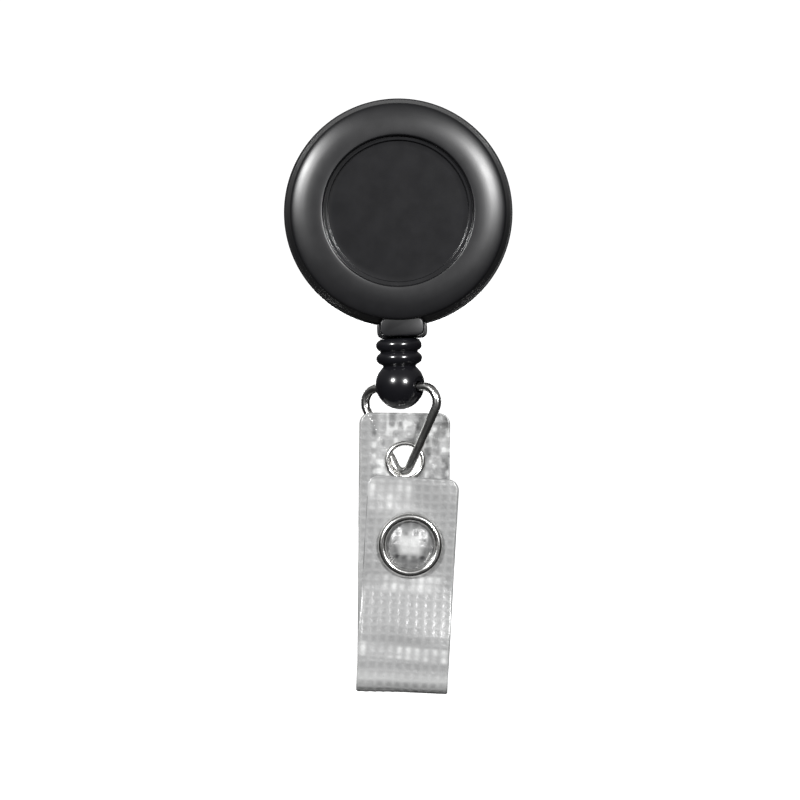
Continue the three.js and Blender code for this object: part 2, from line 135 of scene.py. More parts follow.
STRAP_W = 12.7
STRAP_T = 0.45
STRAP_CORNER_R = 1.6
fold_pivot = np.array(joint("snap_flap")["pos_m"]) / MM
FOLD_R = 2.5
SNAP_GAP = 2.5
BACK_TILT = math.radians(2.45)
FRONT_TILT = math.radians(5.25)
BACK_LEG = 36.3
FRONT_LEG = 27.4
FOLD_END = BACK_LEG + math.pi * FOLD_R
STRAP_LENGTH = FOLD_END + FRONT_LEG
THREAD_PITCH = 1.24
EYELET_HOLE_R = 2.5
SNAP_HEIGHT = 17.9
DOME_R = 3.2
DOME_RISE = 0.75
CHANCE_SIZE = 128
CHANCE = np.random.default_rng(5).random((CHANCE_SIZE, CHANCE_SIZE))
EYELET = middle_mm("strap_eyelet")
EYELET[1] = CORD_Y
SNAP = middle_mm("snap_cap_ring")

CLIP_T = 0.8
CLIP_BEND_R = 2.6
CLIP_BEND_Z = 9.8
CLIP_CORNER_R = 1.6

# ---------------------------------------------------------------------------
# Mesh helpers. Shapes are worked out in millimetres and stored in metres.


def smoothstep(x, low, high):
    t = np.clip((x - low) / (high - low), 0, 1)
    return t * t * (3 - 2 * t)


def make(name, points, faces, sharp=35):
    mesh = bpy.data.meshes.new(name)
    mesh.from_pydata([tuple(p) for p in np.asarray(points, float) * MM], [], faces)
    mesh.validate()
    obj = bpy.data.objects.new(name, mesh)
    bpy.context.scene.collection.objects.link(obj)
    finish_mesh(obj, sharp)
    return obj


def finish_mesh(obj, sharp=35):
    """Faces point out, and shade smoothly up to the sharp angle."""
    work = bmesh.new()
    work.from_mesh(obj.data)
    bmesh.ops.remove_doubles(work, verts=work.verts, dist=1e-7)
    bmesh.ops.recalc_face_normals(work, faces=work.faces)
    work.to_mesh(obj.data)
    work.free()
    obj.data.shade_smooth()
    obj.data.set_sharp_from_angle(angle=math.radians(sharp))


def bake_modifiers(obj):
    bpy.context.view_layer.update()
    evaluated = obj.evaluated_get(bpy.context.evaluated_depsgraph_get())
    mesh = bpy.data.meshes.new_from_object(evaluated)
    obj.modifiers.clear()
    old = obj.data
    obj.data = mesh
    bpy.data.meshes.remove(old)


def combine(obj, tools, operation, sharp=35):
    """Joins or cuts obj with tool objects, which are used up."""
    for tool in tools:
        modifier = obj.modifiers.new("combine", "BOOLEAN")
        modifier.operation = operation
        modifier.solver = "EXACT"
        modifier.object = tool
    bake_modifiers(obj)
    for tool in tools:
        bpy.data.objects.remove(tool)
    finish_mesh(obj, sharp)


def bevel(obj, width, segments=3, angle=30):
    modifier = obj.modifiers.new("bevel", "BEVEL")
    modifier.width = width * MM
    modifier.segments = segments
    modifier.limit_method = "ANGLE"
    modifier.angle_limit = math.radians(angle)
    bake_modifiers(obj)
    finish_mesh(obj)


def spline(points, steps):
    """A smooth curve through the points, with steps pieces between each two."""
    points = np.asarray(points, float)
    ends = [2 * points[0] - points[1], *points, 2 * points[-1] - points[-2]]
    out = []
    for a, b, c, d in zip(ends, ends[1:], ends[2:], ends[3:]):
        for k in range(steps):
            t = k / steps
            out.append(0.5 * (2 * b + (c - a) * t + (2 * a - 5 * b + 4 * c - d) * t**2
                              + (3 * b - 3 * c + d - a) * t**3))
    return out + [points[-1]]


def rounded(outline, radius, closed=True, steps=4):
    """The outline with each corner replaced by a short curve of about that radius."""
    points = [np.asarray(p, float) for p in outline]
    count = len(points)
    out = []
    for i, corner in enumerate(points):
        if not closed and i in (0, count - 1):
            out.append(corner)
            continue
        before, after = points[i - 1] - corner, points[(i + 1) % count] - corner
        cut = min(radius, 0.45 * np.linalg.norm(before), 0.45 * np.linalg.norm(after))
        start = corner + before / np.linalg.norm(before) * cut
        end = corner + after / np.linalg.norm(after) * cut
        for k in range(steps + 1):
            t = k / steps
            out.append((1 - t) ** 2 * start + 2 * t * (1 - t) * corner + t**2 * end)
    return out


def lathe(name, outline, centre=(0, 0, 0), axis="Y", segments=128, sharp=35):
    """Turns (radius, height) points about an axis through centre. It closes on itself, or on the axis."""
    outline = np.asarray(outline, float)
    open_ends = outline[0][0] < 1e-6
    angles = np.linspace(0, 2 * math.pi, segments, endpoint=False)
    points = []
    for r, h in outline:
        ring = np.zeros((segments, 3))
        ring[:, 0] = r * np.cos(angles)
        ring[:, 1 if axis == "Z" else 2] = r * np.sin(angles)
        ring[:, 2 if axis == "Z" else 1] = h
        points.append(ring)
    points = np.concatenate(points) + np.asarray(centre)
    rows = len(outline) - 1 if open_ends else len(outline)
    faces = []
    for j in range(rows):
        low, high = j * segments, (j + 1) % len(outline) * segments
        for i in range(segments):
            k = (i + 1) % segments
            faces.append((low + i, low + k, high + k, high + i))
    return make(name, points, faces, sharp)


def tube(name, path, radius, sides=12, closed=False, sharp=60):
    """A round tube along a path, with its section carried along without twisting."""
    path = np.asarray(path, float)
    count = len(path)
    if closed:
        tangents = np.roll(path, -1, 0) - np.roll(path, 1, 0)
    else:
        tangents = np.gradient(path, axis=0)
    tangents /= np.linalg.norm(tangents, axis=1)[:, None]
    normal = np.cross(tangents[0], (0.31, 0.17, 0.94))
    points = []
    angles = np.linspace(0, 2 * math.pi, sides, endpoint=False)
    for centre, tangent in zip(path, tangents):
        normal -= tangent * (normal @ tangent)
        normal /= np.linalg.norm(normal)
        side = np.cross(tangent, normal)
        points += [centre + radius * (math.cos(a) * normal + math.sin(a) * side) for a in angles]
    faces = []
    for j in range(count if closed else count - 1):
        low, high = j * sides, (j + 1) % count * sides
        for i in range(sides):
            k = (i + 1) % sides
            faces.append((low + i, low + k, high + k, high + i))
    if not closed:
        faces.append(tuple(range(sides)))
        faces.append(tuple(range((count - 1) * sides, count * sides)))
    return make(name, points, faces, sharp)


def prism(name, outline, low_y, high_y):
    """An (x, z) outline, thick along Y."""
    count = len(outline)
    points = [(x, y, z) for y in (low_y, high_y) for x, z in outline]
    faces = [tuple(range(count)), tuple(range(count, 2 * count))]
    faces += [(i, (i + 1) % count, (i + 1) % count + count, i + count) for i in range(count)]
    return make(name, points, faces)


def rod(start, end, radius, segments=32):
    """A cutter: a plain round bar."""
    return tube("cutter", [start, end], radius, segments, sharp=30)


# ---------------------------------------------------------------------------
# Materials


class Paint:
    """A material under construction: its nodes, links and main shader."""

    def __init__(self, name, color, roughness, metallic=0.0, ior=1.5):
        self.material = bpy.data.materials.new(name)
        self.material.use_nodes = True
        self.nodes = self.material.node_tree.nodes
        self.links = self.material.node_tree.links
        self.shader = self.nodes["Principled BSDF"]
        self.shader.inputs["Base Color"].default_value = (*color, 1)
        self.shader.inputs["Roughness"].default_value = roughness
        self.shader.inputs["Metallic"].default_value = metallic
        self.shader.inputs["IOR"].default_value = ior
        self.coordinates = self.nodes.new("ShaderNodeTexCoord").outputs["Object"]

    def noise(self, size_mm, detail=3.0, stretch=(1, 1, 1)):
        mapping = self.nodes.new("ShaderNodeMapping")
        mapping.inputs["Scale"].default_value = stretch
        self.links.new(self.coordinates, mapping.inputs["Vector"])
        texture = self.nodes.new("ShaderNodeTexNoise")
        texture.inputs["Scale"].default_value = 1 / (size_mm * MM)
        texture.inputs["Detail"].default_value = detail
        self.links.new(mapping.outputs["Vector"], texture.inputs["Vector"])
        return texture.outputs["Fac"]

    def span(self, value, low, high, from_low=0.0, from_high=1.0):
        node = self.nodes.new("ShaderNodeMapRange")
        node.inputs["From Min"].default_value = from_low
        node.inputs["From Max"].default_value = from_high
        node.inputs["To Min"].default_value = low
        node.inputs["To Max"].default_value = high
        self.links.new(value, node.inputs["Value"])
        return node.outputs["Result"]

    def math(self, operation, a, b=0.0):
        node = self.nodes.new("ShaderNodeMath")
        node.operation = operation
        for socket, value in zip(node.inputs, (a, b)):
            if isinstance(value, (int, float)):
                socket.default_value = value
            else:
                self.links.new(value, socket)
        return node.outputs[0]

    def mix(self, factor, a, b):
        node = self.nodes.new("ShaderNodeMix")
        node.data_type = "RGBA"
        self.links.new(factor, node.inputs["Factor"])
        for socket, value in zip([s for s in node.inputs if s.type == "RGBA"], (a, b)):
            socket.default_value = (*value, 1)
        return next(s for s in node.outputs if s.type == "RGBA")

    def split(self):
        node = self.nodes.new("ShaderNodeSeparateXYZ")
        self.links.new(self.coordinates, node.inputs[0])
        return node.outputs

    def bump(self, height, depth_mm):
        node = self.nodes.new("ShaderNodeBump")
        node.inputs["Strength"].default_value = 1.0
        node.inputs["Distance"].default_value = depth_mm * MM
        self.links.new(height, node.inputs["Height"])
        self.links.new(node.outputs["Normal"], self.shader.inputs["Normal"])

    def to(self, value, socket):
        self.links.new(value, self.shader.inputs[socket])


def moulded_plastic(name, color, roughness, specular=0.5, floor_r=None):
    """Satin moulded plastic: slight waviness, fine grain and faint handling marks.

    Within floor_r of the Y axis, on the front face only, it is a little glossier.
    """
    paint = Paint(name, color, roughness, ior=1.5)
    paint.shader.inputs["Specular IOR Level"].default_value = specular
    wave = paint.noise(6.0, 1.0)
    grain = paint.noise(0.16, 2.0)
    marks = paint.noise(2.2, 3.0)
    rough = paint.span(marks, roughness - 0.01, roughness + 0.01, 0.3, 0.7)
    if floor_r:
        x, y, z = paint.split()
        squares = paint.math("ADD", paint.math("MULTIPLY", x, x), paint.math("MULTIPLY", z, z))
        r = paint.math("SQRT", squares)
        inside = paint.span(r, 1.0, 0.0, (floor_r - 0.05) * MM, (floor_r + 0.1) * MM)
        front = paint.span(y, 1.0, 0.0, -6 * MM, -5 * MM)
        floor = paint.math("MULTIPLY", inside, front)
        rough = paint.math("SUBTRACT", rough, paint.math("MULTIPLY", floor, 0.1))
    paint.to(rough, "Roughness")
    worn = tuple(c * 1.15 for c in color)
    paint.to(paint.mix(paint.span(marks, 0, 1, 0.35, 0.65), color, worn), "Base Color")
    height = paint.math("ADD", paint.math("MULTIPLY", wave, 0.15), paint.math("MULTIPLY", grain, 0.1))
    paint.bump(height, 0.005)
    return paint.material


def plated_metal(name, color, roughness, brush=(1, 1, 1)):
    """Plated metal: soft roughness changes, fine scratches and slight unevenness."""
    paint = Paint(name, color, roughness, metallic=1.0, ior=2.5)
    cloud = paint.noise(2.5, 3.0)
    scratch = paint.noise(0.25, 5.0, brush)
    both = paint.math("ADD", paint.math("MULTIPLY", cloud, 0.6), paint.math("MULTIPLY", scratch, 0.4))
    paint.to(paint.span(both, roughness - 0.06, roughness + 0.1, 0.3, 0.7), "Roughness")
    dull = tuple(c * 0.86 for c in color)
    paint.to(paint.mix(paint.span(cloud, 0, 1, 0.3, 0.7), color, dull), "Base Color")
    paint.bump(scratch, 0.004)
    return paint.material


def twisted_cord(name, color, pitch_mm, centre=None):
    """Twisted nylon. With a centre, the strands spiral about an upright axis through it."""
    paint = Paint(name, color, 0.62, ior=1.53)
    x, y, z = paint.split()
    fuzz = paint.noise(0.12, 3.0)
    strands = 3.0
    per_metre = 2 * math.pi / (pitch_mm * MM)
    if centre:
        around = paint.math("ARCTAN2", paint.math("SUBTRACT", y, centre[1] * MM),
                            paint.math("SUBTRACT", x, centre[0] * MM))
        along = paint.math("MULTIPLY", z, per_metre)
        phase = paint.math("ADD", along, paint.math("MULTIPLY", around, strands))
    else:
        phase = paint.math("MULTIPLY", paint.math("ADD", paint.math("ADD", x, y), z), per_metre)
    strand = paint.span(paint.math("SINE", phase), 0, 1, -1, 1)
    paint.to(paint.mix(strand, tuple(c * 0.4 for c in color), tuple(c * 1.8 for c in color)), "Base Color")
    paint.to(paint.span(fuzz, 0.5, 0.8, 0.3, 0.7), "Roughness")
    height = paint.math("ADD", strand, paint.math("MULTIPLY", fuzz, 0.3))
    paint.bump(height, 0.06)
    paint.shader.inputs["Sheen Weight"].default_value = 0.15
    return paint.material


def clear_vinyl():
    """Milky clear vinyl over a woven scrim. The mesh carries how pale each point is, painted glints, painted
    light and painted shade included.
    """
    paint = Paint("clear_vinyl", (0.25, 0.25, 0.25), 0.2, ior=1.54)
    attribute = paint.nodes.new("ShaderNodeAttribute")
    attribute.attribute_name = "tone"
    cloud = paint.noise(2.2, 3.0)
    fine = paint.noise(0.3, 3.0)
    paint.to(paint.span(cloud, 0.88, 0.96, 0.3, 0.7), "Alpha")
    paint.to(paint.mix(attribute.outputs["Fac"], (0.011, 0.011, 0.012), (0.58, 0.584, 0.58)), "Base Color")
    paint.to(paint.span(fine, 0.27, 0.42, 0.3, 0.7), "Roughness")
    paint.bump(paint.math("ADD", fine, paint.math("MULTIPLY", cloud, 0.8)), 0.03)
    return paint.material


case_black = moulded_plastic("case_black", (0.005, 0.005, 0.0056), 0.33, specular=0.35, floor_r=10.4)
fitting_black = moulded_plastic("fitting_black", (0.004, 0.004, 0.005), 0.2)
spool_plastic = moulded_plastic("spool_plastic", (0.62, 0.62, 0.57), 0.45)
nickel = plated_metal("nickel", (0.82, 0.815, 0.8), 0.17)
clip_steel = plated_metal("clip_steel", (0.68, 0.68, 0.69), 0.36, (8, 1, 1))
spring_steel = plated_metal("spring_steel", (0.27, 0.3, 0.36), 0.3, (1, 8, 1))
run_cord = twisted_cord("cord_nylon_run", (0.012, 0.012, 0.012), 2.4, centre=(CORD_X, CORD_Y))
wound_cord = twisted_cord("cord_nylon_wound", (0.012, 0.012, 0.012), 0.9)
vinyl = clear_vinyl()


def dress(obj, body, material, slot_name, *nodes):
    """The piece's material and body, and the CAD nodes that it stands for. slot_name is not used."""
    obj.data.materials.clear()
    obj.data.materials.append(material)
    if nodes:
        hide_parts(*nodes)
    if body:
        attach(obj, body)
    return obj


# ---------------------------------------------------------------------------
# Casing


def neck_block(width, top_z, bottom_z, front_y, back_y):
    half = width / 2
    corners = [(-half, top_z), (-half, bottom_z), (half, bottom_z), (half, top_z)]
    block = prism("neck", rounded(corners, NECK_CORNER_R, steps=6), front_y, back_y)
    bevel(block, 0.22)
    return block


def outlet_cutters():
    """The cord fans in from the spool's side and leaves straight down."""
    top_z, bottom_z, right_x = -12.2, -15.9, 7.2
    corners = [(CORD_X - 1, bottom_z), (CORD_X + 1, bottom_z), (right_x, top_z), (CORD_X - 1, top_z)]
    fan = prism("fan", corners, -5.2, -2.8)
    throat = rod((CORD_X, CORD_Y, -14.9), (CORD_X, CORD_Y, -18.5), OUTLET_R)
    return [fan, throat]


def back_casing():
    rim = spline([(15.0, 0), (15.5, -0.12), (15.86, -0.5), (CASE_R, -1.1)], 4)
    inner_r = CASE_R - WALL
    outline = [(RIVET_BORE_R, 0), *rim, (CASE_R, SEAM_BACK_Y + 0.12), (CASE_R - 0.12, SEAM_BACK_Y),
               (inner_r, SEAM_BACK_Y), (inner_r, -WALL), (POST_R, -WALL), (POST_R, POST_TOP_Y),
               (POST_BORE_R, POST_TOP_Y), (POST_BORE_R, -WALL), (RIVET_BORE_R, -WALL)]
    shell = lathe("back_casing", outline, segments=256)
    neck = neck_block(NECK_BACK_W, -15, NECK_BACK_Z, SEAM_BACK_Y, -0.9)
    combine(shell, [neck], "UNION")
    half_w, half_h = 0.25, 2.5
    slot = [(-half_w, -half_h), (half_w, -half_h), (half_w, half_h), (-half_w, half_h)]
    slot_cut = prism("slot_cut", slot, -6.3, -3.1)
    combine(shell, [*outlet_cutters(), slot_cut], "DIFFERENCE")
    return dress(shell, "case", case_black, "case_black", "back_shell")


def front_casing():
    dome = spline([(10.52, -8.5), (10.64, -8.57), (CREST_R, CREST_Y), (12.0, -8.572), (12.8, -8.48),
                   (13.5, -8.34), (14.1, -8.18), (14.6, -8.0), (14.87, -7.83), (15.03, -7.55), (15.2, -7.0),
                   (15.45, -6.2), (FRONT_R, -5.3)], 5)
    step = rounded([(8.5, LABEL_Y), (9.78, LABEL_Y), (9.86, LEDGE_Y), (10.38, LEDGE_Y), (10.46, -8.42),
                    (10.54, -8.52)], 0.06, closed=False)[1:-1]
    inside = [(SKIRT_OUT_R, SEAM_FRONT_Y), (SKIRT_OUT_R, SKIRT_END_Y), (SKIRT_IN_R, SKIRT_END_Y),
              (SKIRT_IN_R, SHELL_FLOOR_Y), (13.6, -7.1), (12.6, -7.45), (10.6, -7.15), (9.4, SHELL_FLOOR_Y),
              (0, SHELL_FLOOR_Y)]
    outline = [(0, LABEL_Y), (9.0, LABEL_Y), *step, *dome[1:], (FRONT_R, SEAM_FRONT_Y - 0.1),
               (FRONT_R - 0.1, SEAM_FRONT_Y), *inside]
    shell = lathe("front_casing", outline, segments=256)
    neck = neck_block(NECK_FRONT_W, -14.8, NECK_FRONT_Z, NECK_FRONT_Y, SEAM_FRONT_Y)
    combine(shell, [neck], "UNION")
    combine(shell, outlet_cutters(), "DIFFERENCE")
    return dress(shell, "case", case_black, "case_black", "front_shell")


# ---------------------------------------------------------------------------
# Spool, spring and wound cord


def spool_wheel():
    back, front = WEB_Y - PLATE_T, SPOOL_FRONT_Y + PLATE_T
    outline = rounded([
        (HUB_R, WEB_Y), (FLANGE_R, WEB_Y), (FLANGE_R, back), (DRUM_R, back), (DRUM_R, front),
        (FLANGE_R, front), (FLANGE_R, SPOOL_FRONT_Y), (DRUM_IN_R, SPOOL_FRONT_Y), (DRUM_IN_R, back),
        (HUB_R, back)], 0.12)
    wheel = lathe("spool_wheel", outline, segments=128)
    window_count, ring_r, window_r = 6, 6, 1.1
    windows = []
    for a in np.arange(window_count) * 2 * math.pi / window_count:
        x, z = ring_r * math.cos(a), ring_r * math.sin(a)
        windows.append(rod((x, -3, z), (x, -1, z), window_r))
    hole = rod((ANCHOR_R, -6, 0), (ANCHOR_R, -4.5, 0), 0.5)
    combine(wheel, [*windows, hole], "DIFFERENCE")
    return dress(wheel, "reel_spool", spool_plastic, "spool_plastic", "spool")


def spring_lid():
    hole_r, rim_r, back, front = 2.6, 8.55, -5.15, -5.45
    outline = rounded([(hole_r, back), (rim_r, back), (rim_r, front), (hole_r, front)], 0.08)
    lid = lathe("spring_lid", outline, segments=96)
    return dress(lid, "reel_spool", spool_plastic, "spool_plastic", "spring_cover_disc")


def coil_spring():
    turns, per_turn, strip = 9, 48, 0.14
    inner_r, outer_r, back, front = 2.3, 8.35, -2.4, -5.0
    count = turns * per_turn
    points = []
    for i in range(count + 1):
        angle = 2 * math.pi * i / per_turn
        radius = inner_r + (outer_r - inner_r) * (i / count) ** 0.8
        for r, y in ((radius, back), (radius + strip, back), (radius + strip, front), (radius, front)):
            points.append((r * math.cos(angle), y, r * math.sin(angle)))
    faces = [(0, 1, 2, 3), tuple(4 * count + k for k in range(4))]
    for i in range(count):
        for k in range(4):
            a, b = 4 * i + k, 4 * i + (k + 1) % 4
            faces.append((a, b, b + 4, a + 4))
    return dress(make("coil_spring", points, faces), "case", spring_steel, "spring_steel", "spiral_spring")


def cord_coil():
    """12.2 turns, three side by side in four layers, which hold 864 mm of cord."""
    turns, side_by_side, layers, per_turn = 12.2, 3, 4, 36
    first_r, layer, first_y, step = 10.05, 0.83, -2.78, 0.82
    path = []
    for i in range(int(turns * per_turn) + 1):
        turn = i / per_turn
        level = int(turn // side_by_side)
        within = turn - level * side_by_side
        climb = smoothstep(within, side_by_side - 0.2, side_by_side)
        across = min(within, side_by_side - 1)
        across = across if level % 2 == 0 else side_by_side - 1 - across
        angle = 2 * math.pi * turn
        radius = first_r + layer * min(level + climb, layers - 1)
        path.append((radius * math.cos(angle), first_y - step * across, radius * math.sin(angle)))
    return dress(tube("cord_coil", path, 0.4, 10), "reel_spool", wound_cord, "cord_nylon", "cord_winding")


def small_knot(name, centre, size, body, node):
    """An overhand knot: a trefoil of cord."""
    path = []
    for t in np.linspace(0, 2 * math.pi, 90, endpoint=False):
        around = math.sin(t) + 2 * math.sin(2 * t)
        beside = math.cos(t) - 2 * math.cos(2 * t)
        path.append(np.asarray(centre) + size * np.array([around / 3, -math.sin(3 * t) / 2, beside / 3]))
    return dress(tube(name, path, size * 0.42, 12, closed=True), body, wound_cord, "cord_nylon", node)


# ---------------------------------------------------------------------------
# Cord's run, bumper and ball


def cord_line():
    """From the winding through the outlet to the knot. Its rings lie close together in the outlet, where the
    cord is pulled out.
    """
    inside = spline([(6.85, -3.6, -11.75), (4.6, -3.75, -13.0), (2.3, -3.95, -14.25), (0.75, -4.15, -15.2),
                     (-0.25, -4.27, -16.2), (CORD_X, CORD_Y, -16.9)], 6)
    stretch = [(CORD_X, CORD_Y, z) for z in np.linspace(-16.95, -17.8, 120)]
    below = [(CORD_X, CORD_Y, z) for z in np.linspace(-18.2, -23.2, 8)]
    line = tube("cord_line", [*inside, *stretch, *below], CORD_R, 16)
    dress(line, None, run_cord, "cord_nylon", "cord_run")
    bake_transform(line)
    return line


def bumper():
    low, high = box_mm("ribbed_bumper")
    rib_r, bead, sweep = (high[0] - low[0]) / 2, 0.95, math.radians(70)
    top, bottom = NECK_BACK_Z - 0.01, BALL_TOP_Z + 0.01
    first, second = high[2] - 0.84, high[2] - 2.66
    outline = [(CORD_BORE_R, top)]
    for middle in (first, second):
        for a in np.linspace(sweep, -sweep, 17):
            outline.append((rib_r - bead + bead * math.cos(a), middle + bead * math.sin(a)))
    outline += [(2.4, bottom + 0.1), (2.34, bottom), (CORD_BORE_R, bottom)]
    outline = [(r, min(z, top)) for r, z in outline]
    ring = lathe("bumper", outline, (CORD_X, CORD_Y, 0), "Z", 96, 50)
    return dress(ring, "cord_end", fitting_black, "fitting_black", "ribbed_bumper")


def ball():
    top = BALL_TOP_Z - BALL[2]
    recess_r, recess_top = 1.3, 0.85
    start, end = math.asin(top / BALL_R), -math.pi / 2 + 0.16
    arc = [(BALL_R * math.cos(a), BALL_R * math.sin(a)) for a in np.linspace(start, end, 48)]
    foot_r, foot_z = arc[-1]
    outline = [(CORD_BORE_R, top), (arc[0][0] - 0.15, top), *arc, (foot_r - 0.08, foot_z + 0.05),
               (foot_r, -3.2), (recess_r, -2.9), (recess_r, recess_top), (CORD_BORE_R, recess_top)]
    body = lathe("ball", outline, BALL, "Z", 128, 40)
    cross = BALL + np.array([0, 0, LOOP_AXIS_Z - BALL[2]])
    direction = np.array([math.cos(LOOP_TURN), math.sin(LOOP_TURN), 0])
    tools = [rod(cross - 5 * direction, cross + 5 * direction, WIRE_R + 0.2)]
    flat_from, flat_r = 3.12, 1.45
    tools += [rod(cross + side * flat_from * direction, cross + side * 5 * direction, flat_r)
              for side in (-1, 1)]
    combine(body, tools, "DIFFERENCE")
    return dress(body, "ball", fitting_black, "fitting_black", "ball_fitting")


# ---------------------------------------------------------------------------
# Wire loop


def loop_path():
    """The wire's centreline: out of the ball, round the shoulder, down the leg and round the tip."""
    half_w, bottom_z, shoulder_r, tip_r = 6.1, -36.2, 2.1, 1.4
    shoulder = (half_w - shoulder_r, LOOP_AXIS_Z - shoulder_r)
    tip_z = bottom_z + tip_r
    span = math.hypot(shoulder[0], shoulder[1] - tip_z)
    lean = math.atan2(shoulder[0], shoulder[1] - tip_z) + math.asin((shoulder_r - tip_r) / span)
    half = [(u, LOOP_AXIS_Z) for u in np.linspace(1.65, shoulder[0], 8)[:-1]]
    half += [(shoulder[0] + shoulder_r * math.cos(a), shoulder[1] + shoulder_r * math.sin(a))
             for a in np.linspace(math.pi / 2, -lean, 20)]
    tip = [(tip_r * math.cos(a), tip_z + tip_r * math.sin(a)) for a in np.linspace(-lean, -math.pi / 2, 14)]
    leg = np.linspace(half[-1], tip[0], 16)[1:-1]
    half += [*map(tuple, leg), *tip]
    both = half + [(-u, z) for u, z in reversed(half[:-1])]
    return [(CORD_X + u * math.cos(LOOP_TURN), CORD_Y + u * math.sin(LOOP_TURN), z) for u, z in both]


def wire():
    return dress(tube("wire", loop_path(), WIRE_R, 32), "loop", nickel, "nickel", "wire_loop")


# ---------------------------------------------------------------------------
# Strap: one embossed strip from the eyelet's end, round the fold, to the flap's end


def half_gap(height):
    return FOLD_R + (SNAP_GAP / 2 - FOLD_R) * smoothstep(height, 4.6, 12.6)


def strap_middle(s):
    """At a distance s along the strip: y, height above the fold, tilt, and the outward normal's parts."""
    if s < BACK_LEG:
        height, side, tilt = BACK_LEG - s, 1, BACK_TILT
    elif s > FOLD_END:
        height, side, tilt = s - FOLD_END, -1, FRONT_TILT
    else:
        angle = (s - BACK_LEG) / FOLD_R
        tilt = BACK_TILT + (FRONT_TILT - BACK_TILT) * angle / math.pi
        return FOLD_R * math.cos(angle), -FOLD_R * math.sin(angle), tilt, math.cos(angle), -math.sin(angle)
    slope = (half_gap(height + 0.01) - half_gap(height - 0.01)) / 0.02
    size = math.hypot(1, slope)
    return side * half_gap(height), height, tilt, side / size, -slope / size


def thread_at(s, across):
    """How much thread lies at a point of the flat strip: 1 on a thread, 0 in the middle of a cell."""
    def row(x, width):
        return np.clip(1 - np.abs((x / THREAD_PITCH + 0.5) % 1 - 0.5) * THREAD_PITCH / width, 0, 1)
    wobble = 0.03 * np.sin(s * 0.9 + 1.3 * across)
    down = row(across + 0.04 * np.sin(s * 0.35) + wobble, 0.38)
    cross = row(s + 0.05 * np.sin(across * 0.8) + wobble, 0.34)
    return np.maximum(down, cross) ** 0.8


def between(value, low, high, soft):
    """1 from low to high, fading to 0 over soft on each side."""
    return smoothstep(value, low - soft, low) * (1 - smoothstep(value, high, high + soft))


def mottle(s, across, along_mm, across_mm):
    """Smooth random values from 0 to 1 over the flat strip, in lumps of about that size."""
    u, v = s / along_mm, across / across_mm + 40
    row, column = int(u), np.floor(v).astype(int)
    a, b = smoothstep(u - row, 0, 1), smoothstep(v - column, 0, 1)
    row %= CHANCE_SIZE - 1
    upper = CHANCE[row, column] * (1 - b) + CHANCE[row, column + 1] * b
    lower = CHANCE[row + 1, column] * (1 - b) + CHANCE[row + 1, column + 1] * b
    return upper * (1 - a) + lower * a


def back_leg_streaks_and_glints(s, across, height, fine):
    """Paler and darker streaks along the back leg, and small specks: the pale specks are painted glints, the
    dark ones darker spots. Strongest round the eyelet.
    """
    streak = mottle(s, across, 4.5, 0.8) - 0.5
    # Pale specks are painted glints; dark specks are darker spots.
    glint_and_dark_specks = 0.24 * smoothstep(fine, 0.6, 0.85) - 0.12 * (1 - smoothstep(fine, 0.12, 0.3))
    strong = (0.3 + 0.7 * smoothstep(height, 24, 28)) * between(across, -4.3, 7, 0.6)
    return (0.3 * streak + glint_and_dark_specks) * strong


def painted_glint_patches(s, across, height):
    """Painted glints on the front leg: upper left, below the snap, and a slanting row above the fold."""
    upper = between(across, -6.4, -0.5, 1.2) * between(height, 23.0, 26.4, 1.0)
    lower = between(across, -5.3, 4.1, 0.9) * between(height, 11.6, 13.4, 0.6)
    slanting = between(height + 0.05 * across, 2.4, 3.8, 0.5) * (s > FOLD_END)
    return np.maximum(np.maximum(upper, lower), slanting)


def dome_dots_and_painted_light(beside, below, beads, spot, fine):
    """Within the snap ring: painted shade in a ring inside the rim, dots, and a painted highlight in the
    middle. Offsets are from the snap.
    """
    ring = between(np.hypot(beside, below), 2.2, 3.3, 0.5)
    wide = between(np.abs(beside), -1, 1.0, 0.7)
    middle = wide * between(abs(below), -1, 0.8, 0.6) * (0.65 + 0.35 * spot)
    dots = beads * between(abs(below), 1.45, 1.75, 0.2) * between(np.abs(beside), -1, 2.0, 0.2)
    return 0.26 * middle - 0.15 * dots - 0.17 * ring * (0.7 + 0.3 * fine)


def tone_at(s, across, height, cover, beside, below, edge):
    """How pale the strip looks: threads are paler than clear cells, and painted glints, painted light on the
    fold and painted shade and highlight in the snap dome are added.

    beside and below are offsets from the snap, and edge is the distance from the strip's edge.
    """
    darkest, edge_shade, beads_shade, painted_fold_light = 0.02, 0.05, 0.1, 0.16
    fine = mottle(s, across, 0.75, 0.6)
    tone = 0.235 + 0.05 * cover + 0.015 * np.sin(0.5 * across + 0.23 * s)
    if s < BACK_LEG:
        return np.clip(tone + back_leg_streaks_and_glints(s, across, height, fine), darkest, 1)
    ridge = np.cos(2 * math.pi * (across / THREAD_PITCH - 0.5)) * 0.5 + 0.5
    spot = ridge * (math.cos(2 * math.pi * (s / THREAD_PITCH - 0.5)) * 0.3 + 0.7)
    # Painted glints: pale spots on the thread ridges, in patches across the front leg.
    pale = painted_glint_patches(s, across, height)
    strength = 0.3 + 0.7 * smoothstep(mottle(s, across, 1.7, 1.5), 0.2, 0.8)
    tone = tone + 0.36 * pale * (0.2 + 0.8 * spot) * strength + 0.06 * pale * (fine - 0.5)
    beads = np.clip(1 - 2.2 * np.abs((across / THREAD_PITCH) % 1 - 0.5), 0, 1)
    for angle in (0.56, 1.2):
        row = 1 - smoothstep(abs(s - FOLD_END + FOLD_R * angle), 0.15, 0.45)
        tone = tone - beads_shade * row * beads * between(across, -3.9, 4.6, 0.4)
    # Painted light: the underside of the fold is made paler.
    tone = tone + painted_fold_light * between(s, BACK_LEG + 1, FOLD_END - 0.6, 1.5)
    # Inside the snap ring: painted shade ring, dots and painted highlight.
    if abs(below) < 3.4 and s > FOLD_END:
        tone = tone + dome_dots_and_painted_light(beside, below, beads, spot, fine)
    return np.clip(tone - edge_shade * (1 - smoothstep(edge, 0.05, 0.3)), darkest, 1)


